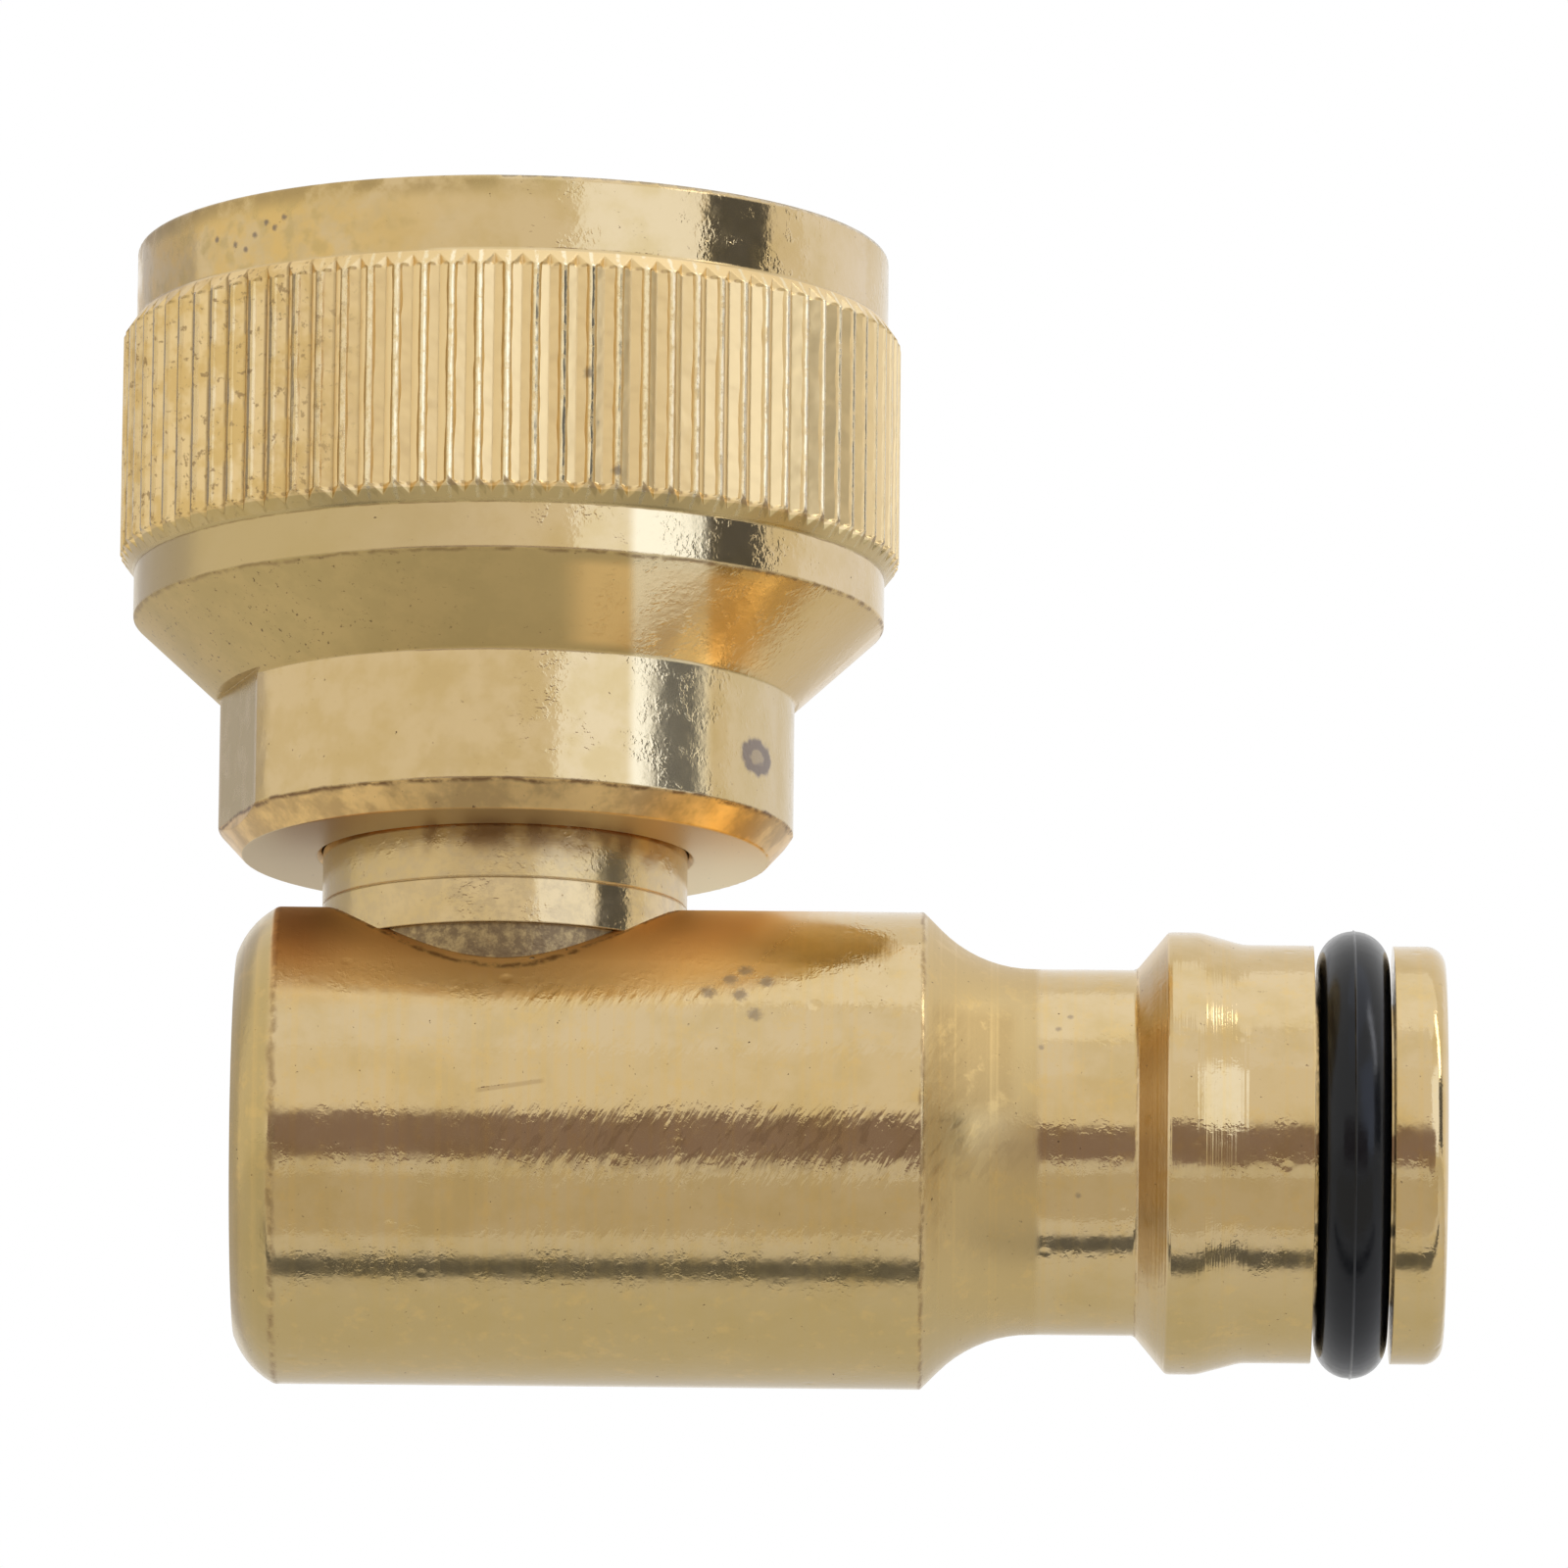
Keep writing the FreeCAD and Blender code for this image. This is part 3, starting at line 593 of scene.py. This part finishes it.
def slanted_scratches(metal):
    """Leaning ripples on the bar's right half, with tarnish in those just below its middle."""
    across = metal.maths("MULTIPLY_ADD", metal.z, -SCRATCH_SLANT, metal.x)
    along = metal.maths("MULTIPLY_ADD", metal.x, SCRATCH_SLANT, metal.z)
    directions = zip((across, metal.y, along), SCRATCH_DENSITY)
    ripples = metal.noise(metal.vector(*(metal.times(value, n) for value, n in directions)), 1.0)
    sideways = metal.between(metal.x, *SCRATCHED_ACROSS)
    scratched = metal.times(sideways, metal.between(metal.z, *SCRATCHED_HEIGHT))
    metal.dent(metal.times(ripples, scratched), 0.030)
    streaked = metal.times(scratched, metal.between(metal.z, *STREAKED_HEIGHT))
    metal.stain(metal.times(metal.step(ripples, 0.50, 0.60), streaked), TARNISH_AND_SHADE, 0.35, rough=0.2)


def outlet_surface(metal):
    """Turning rings, deeper ones on the ridge's back, dents, scratches and dings."""
    ridge_back = metal.between(metal.x, RIDGE_START + 0.6, NOSE_START, 0.3)
    metal.turn(7.0, 0.0016)
    metal.turn(9.0, 0.016, ridge_back)
    metal.tumble(0.45)
    slanted_scratches(metal)
    dings = metal.step(metal.dots(metal.spot, 0.42), 0.13, 0.02)
    metal.dent(metal.maths("SUBTRACT", 1.0, dings), 0.014)
    mark = hairline(metal)
    metal.dent(metal.maths("SUBTRACT", 1.0, mark), 0.006)
    metal.stain(mark, TARNISH_AND_SHADE, 0.35)


def outlet_dirt(metal, top):
    """Stains beside the spindle, pits on the neck, dirt along the edges, and painted shade on the
    bar's top left, under the cap.
    """
    metal.pits(BAR_STAINS, 0.34, 0.6)
    metal.pits(NECK_PITS, 0.14, 0.5)
    metal.line(metal.x, BAR_START + 0.05, 0.22, 0.7, TARNISH_AND_SHADE)
    metal.line(metal.x, BAR_END, 0.14, 0.75, TARNISH_AND_SHADE)
    hole_strength = metal.times(metal.step(metal.z, *HOLE_SIDE), 0.7)
    metal.line(metal.distance(metal.x, metal.y), HOLE_RADIUS + 0.02, 0.14, hole_strength, HOLE_DIRT)
    # Painted shade: dark brown on the bar's top left, under the cap.
    metal.stain(metal.times(top, metal.step(metal.x, *BAR_TOP_LEFT)), UNDER_CAP_SHADE, 0.7, rough=0.42)
    metal.line(metal.x, RIDGE_START, 0.06, 0.5, TARNISH_AND_SHADE)


def elbow_brass():
    metal = Brass("elbow_brass", "outlet")
    bar = metal.between(metal.x, BAR_START, BAR_END, 0.2)
    round_spindle = metal.step(metal.distance(metal.x, metal.y), *ROUND_SPINDLE)
    # The bar's top round the spindle, under the cap, where its reflection and shade are painted.
    top = metal.times(metal.step(metal.z, *BAR_TOP), bar, round_spindle)
    outlet_colours(metal, top)
    outlet_surface(metal)
    outlet_dirt(metal, top)
    return metal.finish()


def spindle_brass():
    metal = Brass("spindle_brass", "swivel")
    upper = metal.step(metal.z, SPINDLE_MARK - BORDER, SPINDLE_MARK + BORDER)
    metal.stain(upper, BRASS_WORN, 0.7, rough=0.26)
    metal.stain(metal.step(metal.x, *SPINDLE_LEFT), BRASS_OLIVE, 0.5, rough=0.26)
    satin = metal.patches(1.6, 0.42, 0.62, detail=4.0, roughness=0.7)
    metal.stain(satin, BRASS_GREY, 0.5, rough=0.24)
    # The spigot is dull brown metal, painted darker still as the shade in the gap where it enters the
    # hole.
    spigot = metal.step(metal.z, SPINDLE_SHOULDER + BORDER, SPINDLE_SHOULDER - BORDER)
    metal.stain(spigot, SPIGOT_DULL_AND_SHADED, rough=0.35)
    worn = metal.patches(2.2, 0.40, 0.70, detail=4.0, roughness=0.75)
    metal.stain(metal.times(spigot, worn), BRASS_WORN, 0.6, rough=0.35)
    # Painted shade: a dark brown band on the spindle's front, just below the collar.
    shade_below_collar = metal.times(
        metal.step(metal.z, *COLLAR_SHADE_HEIGHT),
        metal.between(metal.x, *COLLAR_SHADE_ACROSS),
        metal.step(metal.y, *SPINDLE_FRONT),
        metal.patches(0.6, 0.36, 0.58, detail=3.0),
    )
    metal.stain(shade_below_collar, COLLAR_SHADE, 0.8, rough=0.3)
    metal.speckle(1.0, 0.66, 0.74, TARNISH_AND_SHADE)
    metal.turn(12.0, 0.0016)
    metal.tumble(0.7)
    return metal.finish()


def burr_brass():
    """Torn, bright metal."""
    metal = Brass("burr_brass", "swivel")
    metal.stain(metal.patches(1.5, 0.35, 0.6, detail=3.0), BRASS_BRIGHT, rough=0.2)
    metal.speckle(1.0, 0.42, 0.55, TARNISH_AND_SHADE, scale=2.0)
    return metal.finish()


def rubber(name, colour, roughness, specular, dust=1.5):
    """Moulded rubber or plastic: an even skin, with faint dust that is dust times as light."""
    nodes = Nodes(name)
    spot = nodes.millimetres()
    nodes.shader.inputs["Specular IOR Level"].default_value = specular
    dusty = nodes.step(nodes.noise(spot, 0.8, detail=4.0), 0.45, 0.85)
    dust_colour = tuple(channel * dust for channel in colour)
    nodes.feed(nodes.shader.inputs["Base Color"], nodes.mix(dusty, colour, dust_colour))
    grain = nodes.noise(spot, 3.0, detail=3.0)
    uneven = nodes.spread(grain, roughness - 0.05, roughness + 0.05)
    nodes.feed(nodes.shader.inputs["Roughness"], uneven)
    nodes.feed(nodes.shader.inputs["Normal"], nodes.bump(nodes.noise(spot, 5.0), 0.003))
    return nodes.material


def finish_node(name, material):
    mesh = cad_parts[name].data
    mesh.materials.clear()
    mesh.materials.append(material)


def add_object(name, data):
    piece = bpy.data.objects.new(name, data)
    bpy.context.scene.collection.objects.link(piece)
    return piece


def add_piece(name, mesh, material, body):
    mesh.materials.append(material)
    piece = add_object(name, mesh)
    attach(piece, body)


def swept_mesh(name, sections, closed):
    """A skin through cross sections with as many points each, smooth along the sweep."""
    crease_angle = math.radians(40)
    form = bmesh.new()
    loops = [[form.verts.new(place(point)) for point in section] for section in sections]
    pairs = list(zip(loops, loops[1:]))
    if closed:
        pairs.append((loops[-1], loops[0]))
    for one, other in pairs:
        for k in range(len(one)):
            following = (k + 1) % len(one)
            form.faces.new((one[k], other[k], other[following], one[following]))
    if not closed:
        form.faces.new(loops[0])
        form.faces.new(reversed(loops[-1]))
    bmesh.ops.recalc_face_normals(form, faces=form.faces)
    for face in form.faces:
        face.smooth = True
    mesh = bpy.data.meshes.new(name)
    form.to_mesh(mesh)
    form.free()
    mesh.set_sharp_from_angle(angle=crease_angle)
    return mesh


def add_tap_thread(material):
    """The helical ridge inside the cap's mouth, which runs out at both ends."""
    steps_per_turn = 96
    run_out = 0.12
    thinnest = 0.04
    crest_half = 0.17
    crest_flat = 0.6 * crest_half
    rounding = 0.10
    flank = math.tan(math.radians(27.5))
    root = THREAD_WALL + 0.03
    sections = []
    for step in range(round(THREAD_TURNS * steps_per_turn) + 1):
        turn = step / steps_per_turn
        fade = max(thinnest, min(1.0, turn / run_out, (THREAD_TURNS - turn) / run_out))
        crest = root - (root - THREAD_CREST) * fade
        root_half = crest_half + (root - crest) * flank
        shoulder_half = crest_half + rounding / 2
        shoulder = crest + rounding
        middle = THREAD_START - turn * THREAD_PITCH
        angle = 2 * math.pi * turn
        profile = [
            (root, -root_half), (shoulder, -shoulder_half), (crest, -crest_flat),
            (crest, crest_flat), (shoulder, shoulder_half), (root, root_half),
        ]
        sections.append(
            [(r * math.cos(angle), -r * math.sin(angle), middle + lift) for r, lift in profile]
        )
    mesh = swept_mesh("tap_thread_ridge", sections, False)
    add_piece("tap_thread_ridge", mesh, material, "cap")


def add_hole_burr(material):
    """The ragged lip that pressing the spindle in has raised in the cross hole's edge."""
    chance = random.Random(7)
    count = 300
    highest = 0.38
    waves = (5, 6, 7)
    inner, outer = SPIGOT_RADIUS + 0.02, HOLE_RADIUS - 0.03
    heights = [chance.random() ** 2 for _ in range(count)]
    starts = [chance.uniform(0, 2 * math.pi) for _ in waves]
    sections = []
    for k in range(count):
        angle = 2 * math.pi * k / count
        edge = OUTLET_HEIGHT + math.sqrt(BAR_RADIUS ** 2 - (HOLE_RADIUS * math.sin(angle)) ** 2)
        swell = sum(math.sin(n * angle + start) for n, start in zip(waves, starts))
        torn = min(1.0, max(0.0, swell / 2))
        middle = (inner + outer) / 2 + 0.06 * (heights[k - 1] - 0.5)
        profile = [
            (inner, edge - 0.55), (outer, edge - 0.55), (outer, edge - 0.12),
            (middle, edge + highest * heights[k] * torn), (inner, edge - 0.18),
        ]
        sections.append([(r * math.cos(angle), r * math.sin(angle), z) for r, z in profile])
    mesh = swept_mesh("hole_burr", sections, True)
    add_piece("hole_burr", mesh, material, "elbow")


def emitter(name, colour):
    nodes = Nodes(name)
    nodes.tree.nodes.remove(nodes.shader)
    light = nodes.add("ShaderNodeEmission", {"Color": (*colour, 1.0)})
    output = nodes.tree.nodes["Material Output"]
    nodes.feed(output.inputs["Surface"], light.outputs[0])
    return nodes.material


def flat_mesh(name, width, height, lift=0):
    mesh = bpy.data.meshes.new(name)
    ends = ((-0.5, -0.5), (0.5, -0.5), (0.5, 0.5), (-0.5, 0.5))
    corners = [place((x * width, y * height, lift)) for x, y in ends]
    mesh.from_pydata(corners, [], [(0, 1, 2, 3)])
    return mesh


def from_middle(azimuth, elevation, distance):
    """A place round the object. Azimuth 0 is in front of it, and 90 on the outlet's side."""
    turn, rise = math.radians(azimuth), math.radians(elevation)
    return (
        MIDDLE[0] + distance * math.sin(turn) * math.cos(rise),
        MIDDLE[1] - distance * math.cos(turn) * math.cos(rise),
        MIDDLE[2] + distance * math.sin(rise),
    )


def card(name, centre, width, height, colour, roll=0.0):
    """A flat card that faces the object and only shows in reflections."""
    mesh = flat_mesh(name, width, height)
    mesh.materials.append(emitter(f"{name}_light", colour))
    piece = add_object(name, mesh)
    towards = place(MIDDLE) - place(centre)
    turn = towards.to_track_quat("Z", "Y").to_matrix().to_4x4()
    lean = Matrix.Rotation(math.radians(roll), 4, "Z")
    piece.matrix_world = Matrix.Translation(place(centre)) @ turn @ lean
    piece.visible_camera = False
    piece.visible_diffuse = False
    piece.visible_transmission = False
    piece.visible_shadow = False


def softbox(name, azimuth, elevation, width, height, light):
    """A lamp that faces the object, and whose face has light as its radiance."""
    lamp = bpy.data.lights.new(name, "AREA")
    lamp.shape = "RECTANGLE"
    lamp.size = width * MM
    lamp.size_y = height * MM
    lamp.color = light
    lamp.energy = math.pi * lamp.size * lamp.size_y
    piece = add_object(name, lamp)
    piece.location = place(from_middle(azimuth, elevation, LAMP_DISTANCE))
    towards = place(MIDDLE) - piece.location
    piece.rotation_euler = towards.to_track_quat("-Z", "Y").to_euler()


def build_studio():
    softbox("key_softbox", azimuth=40.5, elevation=14, width=460, height=480, light=(0.31, 0.45, 0.82))
    softbox("front_softbox", azimuth=0, elevation=50, width=420, height=280, light=(0.04, 0.07, 0.17))
    softbox("strip_softbox", azimuth=72, elevation=42, width=110, height=380, light=(3.2, 3.3, 3.6))
    softbox("top_softbox", azimuth=60, elevation=78, width=500, height=500, light=(0.20, 0.26, 0.42))
    softbox("back_softbox", azimuth=120, elevation=11, width=460, height=480, light=(0.10, 0.16, 0.38))
    card("right_flag", from_middle(73.5, 11, 600), 244, 270, (0.13, 0.14, 0.17))
    card("camera_flag", from_middle(2, -6, 450), 700, 172, (0.33, 0.265, 0.28), roll=3)
    card("front_paper", from_middle(0, -40, 230), 700, 120, (0.69, 0.66, 0.60))
    card("table_edge", (5, -71.5, -222), 700, 38, (0.15, 0.16, 0.19))
    card("left_flag", from_middle(-135, 11, 600), 500, 520, (0.66, 0.66, 0.70))


def build_floor():
    mesh = flat_mesh("floor", FLOOR_SIZE, FLOOR_SIZE, FLOOR_HEIGHT)
    nodes = Nodes("floor_paper")
    cloudy = nodes.noise(nodes.millimetres(), 0.02, detail=3.0)
    nodes.feed(nodes.shader.inputs["Base Color"], nodes.mix(cloudy, FLOOR_SHADE, FLOOR_LIGHT))
    nodes.shader.inputs["Roughness"].default_value = 0.9
    nodes.shader.inputs["Specular IOR Level"].default_value = 0.1
    mesh.materials.append(nodes.material)
    floor = add_object("floor", mesh)


def build_world():
    """White to the camera, in mirrors and through glass, and a little dimmer as a lamp."""
    world = bpy.data.worlds.new("studio_world")
    world.use_nodes = True
    tree = world.node_tree
    background = tree.nodes["Background"]
    background.inputs["Color"].default_value = (1, 1, 1, 1)
    path = tree.nodes.new("ShaderNodeLightPath")
    seen = path.outputs["Is Camera Ray"]
    for kind in ("Is Glossy Ray", "Is Transmission Ray"):
        either = tree.nodes.new("ShaderNodeMath")
        either.operation = "MAXIMUM"
        tree.links.new(seen, either.inputs[0])
        tree.links.new(path.outputs[kind], either.inputs[1])
        seen = either.outputs[0]
    strength = tree.nodes.new("ShaderNodeMapRange")
    strength.inputs["To Min"].default_value = WORLD_AS_LAMP
    strength.inputs["To Max"].default_value = 1.0
    tree.links.new(seen, strength.inputs["Value"])
    tree.links.new(strength.outputs["Result"], background.inputs["Strength"])
    bpy.context.scene.world = world


def build_camera():
    pan, tilt, roll = (math.radians(angle) for angle in (CAMERA_PAN, CAMERA_TILT, CAMERA_ROLL))
    ahead = Vector((math.sin(pan) * math.cos(tilt), math.cos(pan) * math.cos(tilt), math.sin(tilt)))
    right = Vector((math.cos(pan), -math.sin(pan), 0))
    up = right.cross(ahead)
    across = right * math.cos(roll) + up * math.sin(roll)
    upwards = up * math.cos(roll) - right * math.sin(roll)
    data = bpy.data.cameras.new("camera")
    data.sensor_width = SENSOR_WIDTH
    data.lens = CAMERA_LENS
    data.clip_end = CAMERA_REACH * MM
    camera = add_object("camera", data)
    turn = Matrix((across, upwards, -ahead)).transposed()
    camera.matrix_world = Matrix.LocRotScale(place(CAMERA_PLACE), turn, None)
    bpy.context.scene.camera = camera


cap_metal = cap_brass()
finish_node("swivel_cap", cap_metal)
finish_node("elbow_body", elbow_brass())
finish_node("swivel_spindle", spindle_brass())
seal_rubber = rubber("seal_rubber", SEAL_BLACK, roughness=0.2, specular=0.3)
for ring in ("nipple_o_ring", "upper_spindle_seal", "lower_spindle_seal"):
    finish_node(ring, seal_rubber)
finish_node("tap_washer", rubber("washer_rubber", WASHER_BLACK, roughness=0.55, specular=0.3))
finish_node("slip_washer", rubber("slip_plastic", SLIP_WHITE, roughness=0.4, specular=0.4, dust=0.92))
add_tap_thread(cap_metal)
add_hole_burr(burr_brass())

build_camera()
build_floor()
build_studio()
build_world()
bpy.context.scene.view_settings.view_transform = "Standard"
